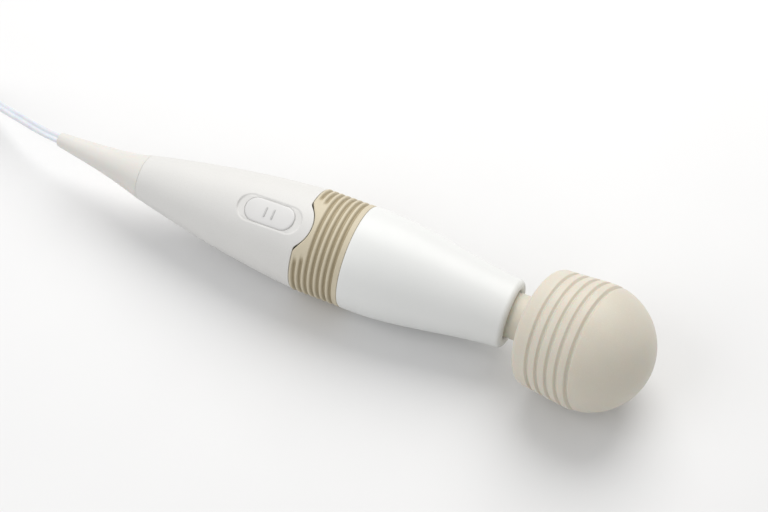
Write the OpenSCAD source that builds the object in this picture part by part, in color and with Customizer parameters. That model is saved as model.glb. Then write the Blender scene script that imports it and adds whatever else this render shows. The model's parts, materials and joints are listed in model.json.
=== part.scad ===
// Handheld wand massager with a flexible neck, lying on a table.
// Stations run along the handle from the tail tip (0) towards the head.

/* [Handle] */
// Length of the soft tail boot
boot_len = 57; // [45:1:70]
// Radius of the tail boot where the lead enters
boot_tip_r = 3.8; // [3.6:0.1:4.5]
// Station where the grip ring starts
grip_start = 151.7; // [151:0.1:152]
// Station where the grip ring ends
grip_end = 178; // [177:0.1:179]
// Radius of the grip ring, the widest part of the handle
grip_r = 27; // [26.6:0.1:27.4]
// Station of the front shell's lip
mouth_end = 262.6; // [260:0.2:263]
// Wall thickness of the shells
wall = 2.4; // [2.2:0.1:2.6]

/* [Button] */
// Station of the middle of the power button
button_at = 133.6; // [133:0.1:134]
// Angle of the button round the handle, from straight up
button_roll = 21; // [0:0.5:40]
// Length of the button pad
pad_len = 27.5; // [26:0.5:28]
// Width of the button pad
pad_w = 12.8; // [12:0.2:13]
// Length of the recess round the pad
recess_len = 36; // [34:0.5:37]
// Width of the recess round the pad
recess_w = 14.4; // [14:0.1:15]

/* [Neck and head] */
// Station of the point that the neck bends about
pivot_at = 266; // [265:0.5:267]
// Distance from the bending point to the middle of the head
reach = 39.5; // [39:0.5:40]
// Radius of the dome
head_r = 32.3; // [31.8:0.1:32.6]
// Sideways lean of the head where it lies
head_yaw = -8.4; // [-9:0.1:-5]
// Radius of the neck
neck_r = 11.8; // [11:0.1:12]
// Distance between the grooves of the head
groove_pitch = 5.6; // [5.3:0.1:5.8]

/* [Lead] */
// Width of the flat twin lead
cord_w = 5.2; // [4.8:0.1:5.4]
// Thickness of the flat twin lead
cord_t = 2.7; // [2.4:0.1:2.8]
// Radius of the middle of the coil
coil_r = 31; // [29:0.5:31]
// Distance between turns that lie side by side
turn_gap = 5.4; // [5.4:0.1:6]
// Distance between layers of turns
layer_gap = 2.8; // [2.8:0.1:3]

/* [Hidden] */
$fn = 96;
eps = 0.01;

// Rear edge of the head: the corner circle that the head rests on
corner_r = 3.5;
corner_at = -24;
barrel_r = 30.3;
rest_r = barrel_r - corner_r;
// Upward lean that lets the head rest on the table beside the grip ring
lean_arm = reach * cos(head_yaw) + corner_at;
lean_hyp = sqrt(rest_r * rest_r + lean_arm * lean_arm);
head_pitch = acos((grip_r - corner_r) / lean_hyp) - atan(lean_arm / rest_r);
base_at = reach - 25;

// The tail boot bends sideways where it leaves the rear shell
tail_tip = 3.5;
boot_bend = 3.6;
tip_x = boot_len - (boot_len - tail_tip) * cos(boot_bend) - boot_tip_r * sin(boot_bend);

// Middle of the box that the wand fills, which becomes the origin
head_x = pivot_at + reach * cos(head_pitch) * cos(head_yaw);
head_y = reach * sin(head_yaw);
mid_x = (tip_x + head_x + head_r) / 2;
mid_y = (max(grip_r, head_y + head_r) + min(-grip_r, head_y - head_r)) / 2;

// Smooth outlines of the handle, as [station, radius]
function bezier(a, b, c, d, t) =
    a * pow(1 - t, 3) + 3 * b * t * pow(1 - t, 2) + 3 * c * t * t * (1 - t) + d * pow(t, 3);
function curve(a, b, c, d, n) = [for (i = [0:n]) bezier(a, b, c, d, i / n)];
boot_curve = curve([tail_tip, boot_tip_r], [22, 5.7], [42, 7.6], [boot_len, 12], 12);
rear_curve = curve([boot_len, 12], [88, 18.9], [119.5, 24.25], [grip_start, grip_r - 0.35], 12);
front_curve = curve([grip_end + 0.2, grip_r], [206, grip_r + 1.2], [236, 19.2],
                    [mouth_end - 2.2, 17.9], 16);
function inset(points, by) = [for (p = points) [p[0], p[1] - by]];
function rear_r(s) = lookup(s, rear_curve);

button_r = rear_r(button_at);
button_slope = atan((rear_r(button_at + 10) - rear_r(button_at - 10)) / 20);
lobe_r = 14.8;
lobe_at = 142.5;
step_r = 24.1;
step_in = 21.7;
step_split = 164;
mouth_r = 12.6;
shaft_r = 1.6;
run_fit = 0.05;

// Motor and frame stations
tube_in = 20;
tube_out = 21.4;
motor_start = 152.5;
can_start = 156;
can_end = 206;
nose_end = 251.7;
deck_top = -7;
cord_end = 85;
board_z = 5;
board_t = 1.6;
switch_h = 2.8;
plunger_low = board_z + board_t + switch_h + 1.15 - button_r;

// Route of the lead from the tail to the coil: station, side, height
CORD_ROUTE = [
    [3.6, 3.4, 27], [-5, 4.2, 26.7], [-14, 6.2, 25.6], [-23, 9.1, 23.4], [-32, 12.4, 20.2],
    [-41, 16.1, 16.5], [-50, 20.1, 12.8], [-59, 24.3, 9.4], [-68, 28.5, 6.6], [-77, 32.5, 4.5],
    [-86, 36.1, 3.2], [-95, 39.1, 2.5], [-104, 41.3, 2.2], [-113, 42.6, 2.15], [-122, 43, 2.15]
];
coil_mid = [-122, 43 - coil_r - turn_gap / 2];
coil_low = 0.8;
coil_layers = 4;
// Route of the lead from the top of the coil to the plug
PLUG_ROUTE = [
    [-122, 43, 10.55], [-129, 43, 10.3], [-136, 43.2, 9.6], [-144, 43.7, 8.3], [-152, 44, 7.6]
];
plug_at = [-152, 44, 7.6];
plug_boot_len = 22;
plug_len = 24;

// ---------- placing ----------

module on_table() {
    translate([-mid_x, -mid_y, 0]) children();
}

module at_handle() {
    on_table() translate([0, 0, grip_r]) rotate([button_roll, 0, 0]) children();
}

module at_boot() {
    on_table() translate([boot_len, 0, grip_r]) rotate([0, 0, -boot_bend])
        rotate([button_roll, 0, 0]) translate([-boot_len, 0, 0]) children();
}

module at_button() {
    at_handle() translate([button_at, 0, button_r]) rotate([0, -button_slope, 0]) children();
}

module at_head() {
    on_table() translate([pivot_at, 0, grip_r]) rotate([0, -head_pitch, 0])
        rotate([0, 0, head_yaw]) children();
}

// ---------- shared shapes ----------

module lathe(points) {
    rotate([0, 90, 0]) rotate_extrude() polygon([for (p = points) [p[1], p[0]]]);
}

module rod(from, to, r) {
    translate([from, 0, 0]) rotate([0, 90, 0]) cylinder(h = to - from, r = r);
}

module ring(from, to, inner, outer) {
    difference() {
        rod(from, to, outer);
        rod(from - 1, to + 1, inner);
    }
}

module stadium(length, width) {
    square([length - width, width], center = true);
    for (end = [-1, 1]) translate([end * (length - width) / 2, 0]) circle(d = width);
}

module stadium_block(length, width, low, high) {
    translate([0, 0, low]) linear_extrude(high - low) stadium(length, width);
}

module post(x, y, low, high, r) {
    translate([x, y, low]) cylinder(h = high - low, r = r);
}

// A bent rod: straight along the handle, round the bending point, straight along the head
module bent_rod(from, to, r) {
    on_table() translate([0, 0, grip_r]) rod(from, pivot_at, r);
    on_table() translate([pivot_at, 0, grip_r]) sphere(r = r + 0.04);
    at_head() rod(0, to, r);
}

module wire(points, r) {
    for (i = [0:len(points) - 2]) {
        step = points[i + 1] - points[i];
        translate(points[i])
            rotate([0, acos(step[2] / norm(step)), atan2(step[1], step[0])])
                cylinder(h = norm(step), r = r, $fn = 24);
    }
    for (i = [1:len(points) - 2]) translate(points[i]) sphere(r = r + 0.12, $fn = 24);
}

// ---------- handle ----------

module rear_body() {
    n = len(rear_curve) - 1;
    lathe(concat(rear_curve, [for (i = [n:-1:0]) rear_curve[i] - [0, wall]]));
    ring(grip_start - 3.4, grip_start, 22.7, 24.6);
    ring(grip_start - 0.6, step_split, step_in, step_r);
    ring(boot_len, boot_len + 3, 8.8, 11.5);
}

module lobe(r, low, high) {
    translate([lobe_at, 0, 0]) cylinder(h = 60, r = r);
}

module rear_shell() {
    color("#f1eee6") difference() {
        union() {
            at_handle() rear_body();
            at_handle() intersection() {
                lobe(lobe_r);
                ring(grip_start - 2, 159, step_r - 1, grip_r - 0.2);
            }
            intersection() {
                at_button() stadium_block(41, 18, -4.6, -1.2);
                at_handle() lathe(concat([[90, 0]], [for (p = rear_curve) if (p[0] > 90) p],
                                         [[grip_start, 0]]));
            }
        }
        at_button() stadium_block(recess_len, recess_w, -1.3, 8);
        at_button() stadium_block(pad_len + 0.6, pad_w + 0.6, -8, 8);
        at_handle() shell_screw_holes(160.5);
    }
}

module shell_screw_holes(station) {
    for (side = [-90, 90]) rotate([side, 0, 0]) {
        post(station, 0, 19, 26, 1.25);
        post(station, 0, step_r - 1.3, 26, 2.3);
    }
}

module tail_boot() {
    color("#f1ebdf") difference() {
        union() {
            difference() {
                at_boot() lathe(concat([[tail_tip, 0]], boot_curve,
                                       [[boot_len + 1.5, 12.4], [boot_len + 1.5, 0]]));
                at_handle() rod(boot_len, boot_len + 9, 20);
            }
            at_handle() rod(boot_len - 1, boot_len + 3.2, 8.6);
            at_handle() rod(boot_len + 3.2, boot_len + 6, 9.9);
        }
        at_boot() rod(-1, boot_len + 0.5, cord_w / 2 + 0.15);
        at_handle() rod(boot_len - 0.3, boot_len + 7, cord_w / 2 + 0.35);
    }
}

function groove_at(i) = grip_start + 2.6 + 3.35 * i;

module partial_groove(station, gap) {
    rotate([0, 90, 0]) rotate([0, 0, 180 + gap]) rotate_extrude(angle = 360 - 2 * gap)
        translate([grip_r - 0.4, station]) circle(r = 1.1, $fn = 24);
}

module grip_ring() {
    color("#b9a98a") at_handle() difference() {
        ring(grip_start + 0.2, grip_end, step_r + 0.2, grip_r);
        lobe(lobe_r + 0.2);
        partial_groove(groove_at(0), 39);
        partial_groove(groove_at(1), 34);
        for (i = [2:6]) rotate([0, 90, 0]) rotate_extrude()
            translate([grip_r - 0.4, groove_at(i)]) circle(r = 1.1, $fn = 24);
    }
}

module front_shell() {
    inside = [for (p = front_curve) if (p[0] < mouth_end - 8) p - [0, wall + 0.2]];
    color("#f4f6f8") at_handle() difference() {
        union() {
            lathe(concat([[grip_end + 0.2, 0]], front_curve,
                         [[mouth_end - 0.9, 17], [mouth_end, 15.2], [mouth_end, 0]]));
            rod(step_split + 0.2, grip_end + 2, step_r);
        }
        lathe(concat([[grip_end + 2.5, 0], [grip_end + 2.5, 24.4]],
                     [for (p = inside) if (p[0] > grip_end + 2.5) p],
                     [[mouth_end - 6, 15.6], [mouth_end - 6, 0]]));
        rod(0, grip_end + 3, step_in);
        rod(0, mouth_end + 1, mouth_r);
        shell_screw_holes(171.5);
    }
}

module neck_seal() {
    color("#3a3835") at_handle()
        ring(mouth_end - 5, mouth_end - 2.8, neck_r + 0.25, mouth_r - 0.02);
}

module inner_frame() {
    color("#3d4044") at_handle() difference() {
        union() {
            ring(151, 210, tube_in, tube_out);
            ring(151, 152.1, 8, tube_out);
            ring(207, 210, 4.6, tube_out);
            ring(209.5, nose_end, 12, 14.6);
            ring(224, 229, 5, 12.5);
            translate([74, -8.8, deck_top - 2]) cube([77.6, 17.6, 2]);
            translate([76, -8, deck_top - 1]) cube([8, 16, 1 - deck_top - cord_t / 2]);
            for (x = [96, 140], y = [-8, 8]) post(x, y, deck_top - 1, board_z, 2.2);
        }
        shell_screw_holes(160.5);
        shell_screw_holes(171.5);
        for (y = [-5.6, 5.6]) post(80, y, -5, 0, 1.2);
        for (x = [96, 140], y = [-8, 8]) post(x, y, -1, 6, 1);
        for (y = [-8.5, 8.5]) translate([0, y, 0]) rod(206, 211, 1.4);
    }
}

module frame_screws() {
    color("#9a9ca0") at_handle() for (station = [160.5, 171.5], side = [-90, 90])
        rotate([side, 0, 0]) {
            post(station, 0, tube_in + 0.1, step_r - 1, 1.25);
            post(station, 0, step_r - 1.3, step_r - 0.1, 2.2);
        }
}

// ---------- motor ----------

module motor_can() {
    color("#a9adb2") at_handle() difference() {
        union() {
            ring(can_start, can_end, 16.3, 17.5);
            ring(can_end - 1.4, can_end, 4, 17);
        }
        for (y = [-8.5, 8.5]) translate([0, y, 0]) rod(203, 207, 1.4);
    }
}

module motor_magnets() {
    color("#4a4745") at_handle() for (start = [30, 210])
        translate([166, 0, 0]) rotate([0, 90, 0]) rotate([0, 0, start])
            rotate_extrude(angle = 120) translate([13.6, 0]) square([2.7, 30]);
}

module motor_end_cap() {
    color("#2f3133") at_handle() {
        ring(motor_start, can_start, 4, 17.5);
        for (side = [-1, 1])
            translate([can_start - 0.5, side * 7.4 - 3.1, -1.6]) cube([3.1, 6.2, 3.2]);
    }
}

module motor_brushes() {
    color("#33302e") at_handle() for (side = [-1, 1])
        translate([158.6, side * 7.4 - 3.1, -1.6]) cube([3.4, 6.2, 3.2]);
}

module shaft_bushes() {
    color("#b08d4c") at_handle() {
        ring(motor_start, can_start, shaft_r + run_fit, 4);
        ring(can_end - 3.4, can_end, shaft_r + run_fit, 4);
        ring(224, 229, shaft_r + run_fit, 5);
    }
}

module motor_mounts() {
    color("#2b2b2b") at_handle() for (from = [161, 196])
        ring(from, from + 5, 17.55, tube_in - 0.05);
}

module motor_screws() {
    color("#9a9ca0") at_handle() for (y = [-8.5, 8.5]) translate([0, y, 0]) {
        rod(204.8, 210.3, 1.4);
        rod(210, 211.8, 2.6);
    }
}

module motor_leads() {
    color("#8f2f2b") at_handle() for (side = [-1, 1])
        translate([0, side * 4, board_z + board_t / 2]) rod(146, motor_start, 0.8);
}

module motor_shaft() {
    color("#c4c7ca") at_handle() rod(150.8, 240, shaft_r);
}

module rotor_core() {
    color("#7d8186") at_handle() difference() {
        ring(168, 194, shaft_r, 12.8);
        for (a = [0:72:359]) rotate([a, 0, 0]) translate([167, -1.9, 7]) cube([28, 3.8, 7]);
    }
}

module rotor_windings() {
    color("#b4672f") at_handle() {
        ring(163.6, 168, 4.4, 11.8);
        ring(194, 198.4, 4.4, 11.8);
        for (a = [0:72:359]) rotate([a, 0, 0]) translate([167.5, -1.7, 7]) cube([27, 3.4, 4.4]);
    }
}

module commutator() {
    color("#b77b3a") at_handle() ring(157.5, 163.4, shaft_r, 4.2);
}

module drive_hub() {
    color("#8d9095") at_handle() ring(231, 241, shaft_r, 4.5);
}

// ---------- electrics ----------

module circuit_board() {
    color("#3f7a4c") at_handle() difference() {
        translate([90, -11, board_z]) cube([56, 22, board_t]);
        for (x = [96, 140], y = [-8, 8]) post(x, y, board_z - 1, board_z + 3, 1.1);
    }
}

module board_screws() {
    color("#9a9ca0") at_handle() for (x = [96, 140], y = [-8, 8]) {
        post(x, y, -0.8, board_z + board_t + 0.1, 1);
        post(x, y, board_z + board_t, board_z + board_t + 1.3, 1.9);
    }
}

module tact_switch() {
    color("#26282a") at_handle() translate([button_at - 1.6, -3, board_z + board_t])
        cube([6, 6, switch_h]);
}

module capacitor() {
    color("#3a4f86") at_handle() translate([0, 0, -0.6]) rod(107, 125, 5);
}

module rectifier() {
    color("#1f2123") at_handle() translate([106, -4.5, board_z + board_t]) cube([11, 9, 3]);
}

module choke() {
    color("#c0893a") at_handle() translate([133, 0, board_z - 2.5])
        rotate_extrude() translate([4.6, 0]) circle(r = 2.3, $fn = 32);
}

module fuse() {
    color("#c9b98f") at_handle() translate([102, -7, board_z - 2.7]) rotate([-90, 0, 0])
        cylinder(h = 14, r = 2.5);
}

module cord_clamp() {
    color("#3d4044") at_handle() difference() {
        translate([77, -8, cord_t / 2]) cube([6, 16, 2.6]);
        for (y = [-5.6, 5.6]) post(80, y, 0, 6, 1.2);
    }
}

module clamp_screws() {
    color("#9a9ca0") at_handle() for (y = [-5.6, 5.6]) {
        post(80, y, -4.8, cord_t / 2 + 2.7, 1.2);
        post(80, y, cord_t / 2 + 2.6, cord_t / 2 + 4, 2.1);
    }
}

module inner_cord() {
    color("#dfe4ea") {
        at_boot() translate([tail_tip, 0, 0]) rotate([90, 0, 90])
            linear_extrude(boot_len - tail_tip) stadium(cord_w, cord_t);
        at_handle() translate([boot_len, 0, 0]) sphere(r = cord_w / 2 + 0.08);
        at_handle() translate([boot_len, 0, 0]) rotate([90, 0, 90])
            linear_extrude(cord_end - boot_len) stadium(cord_w, cord_t);
    }
}

module cord_leads() {
    color("#4a4d52") at_handle() for (side = [-1, 1])
        wire([[cord_end, side * 1.4, 0], [cord_end + 2, side * 1.4, 0],
              [cord_end + 4, side * 3.2, 3], [92, side * 3.2, 3], [92, side * 3.2, board_z]], 0.8);
}

// ---------- power button ----------

module power_button() {
    color("#f3f1ea") at_button() {
        intersection() {
            stadium_block(pad_len, pad_w, -5.2, 2);
            translate([-30, 0, -button_r]) rod(0, 60, button_r - 0.3);
        }
        stadium_block(pad_len + 2, pad_w + 2.2, -6.2, -5);
        for (x = [-2.15, 2.15]) translate([x, 0]) rotate([0, 0, 90]) stadium_block(5.4, 0.9, -1, 0.1);
        post(0, 0, plunger_low + 2, -6, 2);
    }
}

module switch_plunger() {
    color("#26282a") at_button() post(0, 0, plunger_low, plunger_low + 2, 1.5);
}

module button_seal() {
    color("#3a3835") at_button() difference() {
        stadium_block(pad_len + 4, pad_w + 5.2, -8.6, -4.6);
        stadium_block(pad_len + 2.8, pad_w + 3.4, -7.5, -4);
        post(0, 0, -10, -6, 2.3);
    }
}

// ---------- neck ----------

module neck_sleeve() {
    color("#c7beae") difference() {
        union() {
            bent_rod(246, base_at + 3.3, neck_r);
            at_handle() rod(nose_end + 0.2, mouth_end - 6.2, 15);
        }
        bent_rod(240, base_at + 5, neck_r - 2);
    }
}

module neck_core() {
    color("#5a5650") difference() {
        union() {
            bent_rod(236, base_at + 3.2, 8.5);
            at_handle() rod(236, 241, 11.8);
        }
        bent_rod(230, base_at + 5, 6.5);
    }
}

module drive_spring() {
    color("#c4c7ca") bent_rod(241.1, base_at - 1.1, 3.4);
}

// ---------- head: stations from the bending point ----------

module quarter(r) {
    intersection() {
        circle(r = r);
        square([r, r]);
    }
}

module head_lathe() {
    at_head() translate([reach, 0, 0]) rotate([0, 90, 0]) rotate_extrude() children();
}

function arc(middle, r, from, to, n) =
    [for (i = [0:n]) let (a = from + (to - from) * i / n) middle + r * [cos(a), sin(a)]];

function skin_r(x) = x > 0 ? sqrt(head_r * head_r - x * x)
                           : head_r + (barrel_r - head_r) * x / corner_at;

module head_cover() {
    color("#c7beae") head_lathe() difference() {
        polygon(concat(arc([0, 0], head_r, 90, 0, 24),
                       arc([rest_r, corner_at], corner_r, 0, -90, 6),
                       [[0, corner_at - corner_r]]));
        for (i = [0:4]) translate([skin_r(4.7 - groove_pitch * i) - 0.3, 4.7 - groove_pitch * i])
            circle(r = 0.9, $fn = 24);
        polygon(concat(arc([0, 0], 27.6, 90, 0, 24), [[27.6, -25.2], [0, -25.2]]));
        translate([0, -30]) square([neck_r + 0.2, 6]);
    }
}

module core_outline() {
    difference() {
        union() {
            quarter(27.4);
            translate([0, -21.3]) square([27.4, 21.3]);
        }
        quarter(25.2);
        translate([0, -25]) square([25.2, 25]);
    }
}

module head_core() {
    color("#d8d8d4") difference() {
        union() {
            head_lathe() core_outline();
            head_lathe() difference() {
                intersection() {
                    quarter(26);
                    translate([0, 13]) square([9, 13]);
                }
                translate([0, 10]) square([6.5, 9]);
                translate([0, 10]) square([3, 12.5]);
            }
            at_head() for (a = [0:120:359]) rotate([a, 0, 0]) translate([0, 0, 22])
                rod(base_at + 3.7, 34, 3.8);
        }
        at_head() for (a = [0:120:359]) rotate([a, 0, 0]) translate([0, 0, 22])
            rod(base_at, 32, 1.2);
    }
}

module head_base() {
    color("#d8d8d4") at_head() difference() {
        union() {
            ring(base_at, base_at + 3.5, neck_r + 0.2, 27.2);
            ring(base_at + 3.5, base_at + 11, 6.5, 14);
        }
        for (a = [0:120:359]) rotate([a, 0, 0]) translate([0, 0, 22]) {
            rod(base_at - 1, base_at + 5, 1.3);
            rod(base_at - 1, base_at + 1.5, 2.5);
        }
    }
}

module head_screws() {
    color("#9a9ca0") at_head() for (a = [0:120:359]) rotate([a, 0, 0]) translate([0, 0, 22]) {
        rod(base_at + 1.4, 31, 1.2);
        rod(base_at, base_at + 1.5, 2.4);
    }
}

module head_bearings() {
    color("#b4b8bd") at_head() {
        ring(base_at + 6, base_at + 11, 2 + run_fit, 6.5);
        ring(reach + 14, reach + 19, 2 + run_fit, 6.5);
    }
}

module eccentric_shaft() {
    color("#c4c7ca") at_head() rod(base_at, 61, 2);
}

module eccentric_weight() {
    color("#8b8579") at_head() difference() {
        union() {
            rod(29, 51, 4.5);
            intersection() {
                rod(29, 51, 15);
                translate([28, -20, -20]) cube([24, 40, 20]);
            }
        }
        rod(28, 52, 2);
    }
}

module weight_hub() {
    color("#8d9095") at_head() ring(base_at - 1, base_at + 5.6, 2, 4.5);
}

// ---------- lead, coil and plug ----------

function unit(v) = v / norm(v);
function heading(path, i) =
    unit(path[min(i + 1, len(path) - 1)] - path[max(i - 1, 0)]);
function lead_ring(path, i, roll) =
    let (t = heading(path, i), side = unit(cross([0, 0, 1], t)), up = cross(t, side))
    [for (k = [0:7]) let (a = cord_w / 2 * cos(45 * k), b = cord_t / 2 * sin(45 * k))
        path[i] + side * (a * cos(roll) - b * sin(roll)) + up * (a * sin(roll) + b * cos(roll))];

// The flat lead starts at the handle's roll and turns flat over its first seven points
module lead_tube(path, roll) {
    n = len(path);
    polyhedron(
        points = [for (i = [0:n - 1]) each lead_ring(path, i, roll * max(0, 1 - i / 7))],
        faces = concat(
            [[for (k = [0:7]) k]],
            [[for (k = [7:-1:0]) 8 * (n - 1) + k]],
            [for (i = [0:n - 2], k = [0:7])
                [8 * i + k, 8 * i + 8 + k, 8 * i + 8 + (k + 1) % 8, 8 * i + (k + 1) % 8]]
        ));
}

module power_cord() {
    color("#dfe4ea") on_table() lead_tube(CORD_ROUTE, -button_roll);
}

module cord_coil() {
    half = (turn_gap + cord_w) / 2;
    color("#dfe4ea") on_table() translate([coil_mid[0], coil_mid[1], coil_low]) rotate_extrude()
        translate([coil_r - half, 0]) square([2 * half, (coil_layers - 1) * layer_gap + cord_t]);
}

module cord_tie() {
    half = (turn_gap + cord_w) / 2 + 0.1;
    tall = (coil_layers - 1) * layer_gap + cord_t;
    color("#2b2b2b") on_table() translate([coil_mid[0], coil_mid[1], 0]) rotate([0, 0, 172])
        rotate_extrude(angle = 16) difference() {
            translate([coil_r - half - 0.7, 0]) square([2 * half + 1.4, tall + coil_low + 0.8]);
            translate([coil_r - half, coil_low - 0.05]) square([2 * half, tall + 0.1]);
        }
}

module plug_lead() {
    color("#dfe4ea") on_table() lead_tube(PLUG_ROUTE, 0);
}

module at_plug() {
    on_table() translate(plug_at) rotate([0, 0, 180]) children();
}

module plug_boot() {
    color("#e8e6e0") at_plug() lathe([[0, 0], [0, 3.2], [plug_boot_len, 5.4], [plug_boot_len, 0]]);
}

module plug_body() {
    color("#e8e6e0") at_plug() translate([plug_boot_len, 0, 0]) rotate([90, 0, 90])
        linear_extrude(plug_len) {
            square([23, 9.2], center = true);
            square([17, 15.2], center = true);
            for (x = [-8.5, 8.5], y = [-4.6, 4.6]) translate([x, y]) circle(r = 3);
        }
}

module plug_blades() {
    color("#d4d0bf") at_plug() for (side = [-1, 1])
        difference() {
            translate([plug_boot_len + plug_len, side * 6.35 - 0.75, -3.15]) cube([17.5, 1.5, 6.3]);
            translate([plug_boot_len + plug_len + 12.7, side * 6.35 + 2, 0]) rotate([90, 0, 0])
                cylinder(h = 4, r = 1.5);
        }
}

rear_shell();
tail_boot();
grip_ring();
front_shell();
neck_seal();
inner_frame();
frame_screws();
motor_can();
motor_magnets();
motor_end_cap();
motor_brushes();
shaft_bushes();
motor_mounts();
motor_screws();
motor_leads();
circuit_board();
board_screws();
tact_switch();
capacitor();
rectifier();
choke();
fuse();
cord_clamp();
clamp_screws();
inner_cord();
cord_leads();
button_seal();
power_cord();
cord_coil();
cord_tie();
plug_lead();
plug_boot();
plug_body();
plug_blades();
power_button();
switch_plunger();
neck_sleeve();
neck_core();
drive_spring();
head_cover();
head_core();
head_base();
head_screws();
head_bearings();
motor_shaft();
rotor_core();
rotor_windings();
commutator();
drive_hub();
eccentric_shaft();
eccentric_weight();
weight_hub();
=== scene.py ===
import json
import math
import bpy
import numpy as np
from mathutils import Matrix, Vector


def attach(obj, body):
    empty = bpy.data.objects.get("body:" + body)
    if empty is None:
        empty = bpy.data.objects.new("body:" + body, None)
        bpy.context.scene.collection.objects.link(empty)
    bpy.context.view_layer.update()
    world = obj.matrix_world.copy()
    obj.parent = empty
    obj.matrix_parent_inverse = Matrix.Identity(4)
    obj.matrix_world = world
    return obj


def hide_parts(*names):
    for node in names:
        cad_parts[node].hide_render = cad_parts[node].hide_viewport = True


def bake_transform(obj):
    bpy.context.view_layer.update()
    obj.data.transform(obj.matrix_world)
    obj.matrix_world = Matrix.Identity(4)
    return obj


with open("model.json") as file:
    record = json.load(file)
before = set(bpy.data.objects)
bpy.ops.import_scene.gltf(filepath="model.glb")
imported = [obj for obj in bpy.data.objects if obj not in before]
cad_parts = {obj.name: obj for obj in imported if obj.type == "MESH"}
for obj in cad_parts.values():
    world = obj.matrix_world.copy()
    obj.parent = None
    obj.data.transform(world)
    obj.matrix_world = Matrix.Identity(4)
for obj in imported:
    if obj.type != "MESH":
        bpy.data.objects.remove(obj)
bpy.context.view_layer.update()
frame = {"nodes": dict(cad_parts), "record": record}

# ---------------------------------------------------------------- sizes, in mm, as in the CAD
BOOT_LEN, TAIL_TIP, BOOT_TIP_R = 57.0, 3.5, 3.8
BOOT_BEND = math.radians(3.6)
GRIP_START, GRIP_END, GRIP_R = 151.7, 178.0, 27.0
MOUTH_END, MOUTH_R = 262.6, 12.6
BUTTON_AT, BUTTON_ROLL = 133.6, math.radians(21)
PAD_LEN, PAD_W, RECESS_LEN, RECESS_W = 27.5, 12.8, 36.0, 14.4
LOBE_AT, LOBE_R = 142.5, 14.8
PIVOT_AT, REACH, NECK_R = 266.0, 39.5, 11.8
HEAD_R, CORNER_R, CORNER_AT, BARREL_R = 32.3, 3.5, -24.0, 30.3
HEAD_YAW = math.radians(-8.4)
CORD_W, CORD_T = 5.2, 2.7
COIL_R, TURN_GAP, LAYER_GAP, COIL_LOW = 31.0, 5.4, 2.8, 0.8
MM = 0.001

rest_r = BARREL_R - CORNER_R
lean_arm = REACH * math.cos(HEAD_YAW) + CORNER_AT
HEAD_PITCH = (math.acos((GRIP_R - CORNER_R) / math.hypot(rest_r, lean_arm))
              - math.atan(lean_arm / rest_r))
head_x = PIVOT_AT + REACH * math.cos(HEAD_PITCH) * math.cos(HEAD_YAW)
head_y = REACH * math.sin(HEAD_YAW)
tip_x = BOOT_LEN - (BOOT_LEN - TAIL_TIP) * math.cos(BOOT_BEND) - BOOT_TIP_R * math.sin(BOOT_BEND)
MID_X = (tip_x + head_x + HEAD_R) / 2
MID_Y = (max(GRIP_R, head_y + HEAD_R) + min(-GRIP_R, head_y - HEAD_R)) / 2


def bezier(p, t):
    """Point or points of a cubic curve with the four control values p."""
    return (p[0] * (1 - t) ** 3 + 3 * p[1] * t * (1 - t) ** 2
            + 3 * p[2] * t * t * (1 - t) + p[3] * t ** 3)


def outline(s_values, r_values, n):
    """Points [station, radius] along a cubic curve."""
    t = np.linspace(0, 1, n)
    return np.stack([bezier(s_values, t), bezier(r_values, t)], 1)


BOOT = outline([TAIL_TIP, 22, 42, BOOT_LEN], [BOOT_TIP_R, 5.7, 7.6, 12.0], 60)
REAR = outline([BOOT_LEN, 88, 119.5, GRIP_START], [12.0, 18.9, 24.25, GRIP_R - 0.35], 120)
FRONT = outline([GRIP_END + 0.2, 206, 236, MOUTH_END - 2.2], [GRIP_R, GRIP_R + 1.2, 19.2, 17.9], 110)


def rear_radius(s):
    """Radius of the rear shell, which keeps widening slightly along its lobe."""
    return np.interp(s, REAR[:, 0], REAR[:, 1]) + np.clip(s - GRIP_START, 0, 10) * 0.02


BUTTON_R = float(rear_radius(BUTTON_AT))
BUTTON_SLOPE = math.atan(float(rear_radius(BUTTON_AT + 10) - rear_radius(BUTTON_AT - 10)) / 20)

# ---------------------------------------------------------------- placing


def row(points):
    """Millimetres from the tail tip and the table to metres in the row frame."""
    return (np.asarray(points, float) - [MID_X, MID_Y, 0]) * MM


def on_handle(s, r, phi):
    """Points round the handle. phi is the angle from the middle of the button."""
    a = np.asarray(phi) + BUTTON_ROLL
    s, r, a = np.broadcast_arrays(s, r, a)
    return row(np.stack([s, -r * np.sin(a), GRIP_R + r * np.cos(a)], -1))


def on_boot(s, r, phi):
    """Points round the tail boot, whose middle line bends sideways just behind the shell."""
    s, r, a = np.broadcast_arrays(s, r, np.asarray(phi) + BUTTON_ROLL)
    back_by, bend_over = BOOT_LEN - s, 8.0
    full = math.tan(BOOT_BEND) * (BOOT_LEN - TAIL_TIP) / (BOOT_LEN - TAIL_TIP - bend_over / 2)
    slope = full * np.clip(back_by / bend_over, 0, 1)
    aside = np.where(back_by > bend_over, full * (back_by - bend_over / 2),
                     full * np.maximum(back_by, 0) ** 2 / (2 * bend_over))
    out = -r * np.sin(a) / np.sqrt(1 + slope ** 2)
    along = BOOT_LEN - back_by * np.cos(BOOT_BEND) + out * slope
    return row(np.stack([along, aside + out, GRIP_R + r * np.cos(a)], -1))


HEAD_TURN = np.array(Matrix.Rotation(-HEAD_PITCH, 3, "Y") @ Matrix.Rotation(HEAD_YAW, 3, "Z"))


def on_head(points):
    """Points in the head's own frame, with x from the bending point, to the row frame."""
    return row(np.asarray(points, float) @ HEAD_TURN.T + [PIVOT_AT, 0, GRIP_R])


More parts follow.
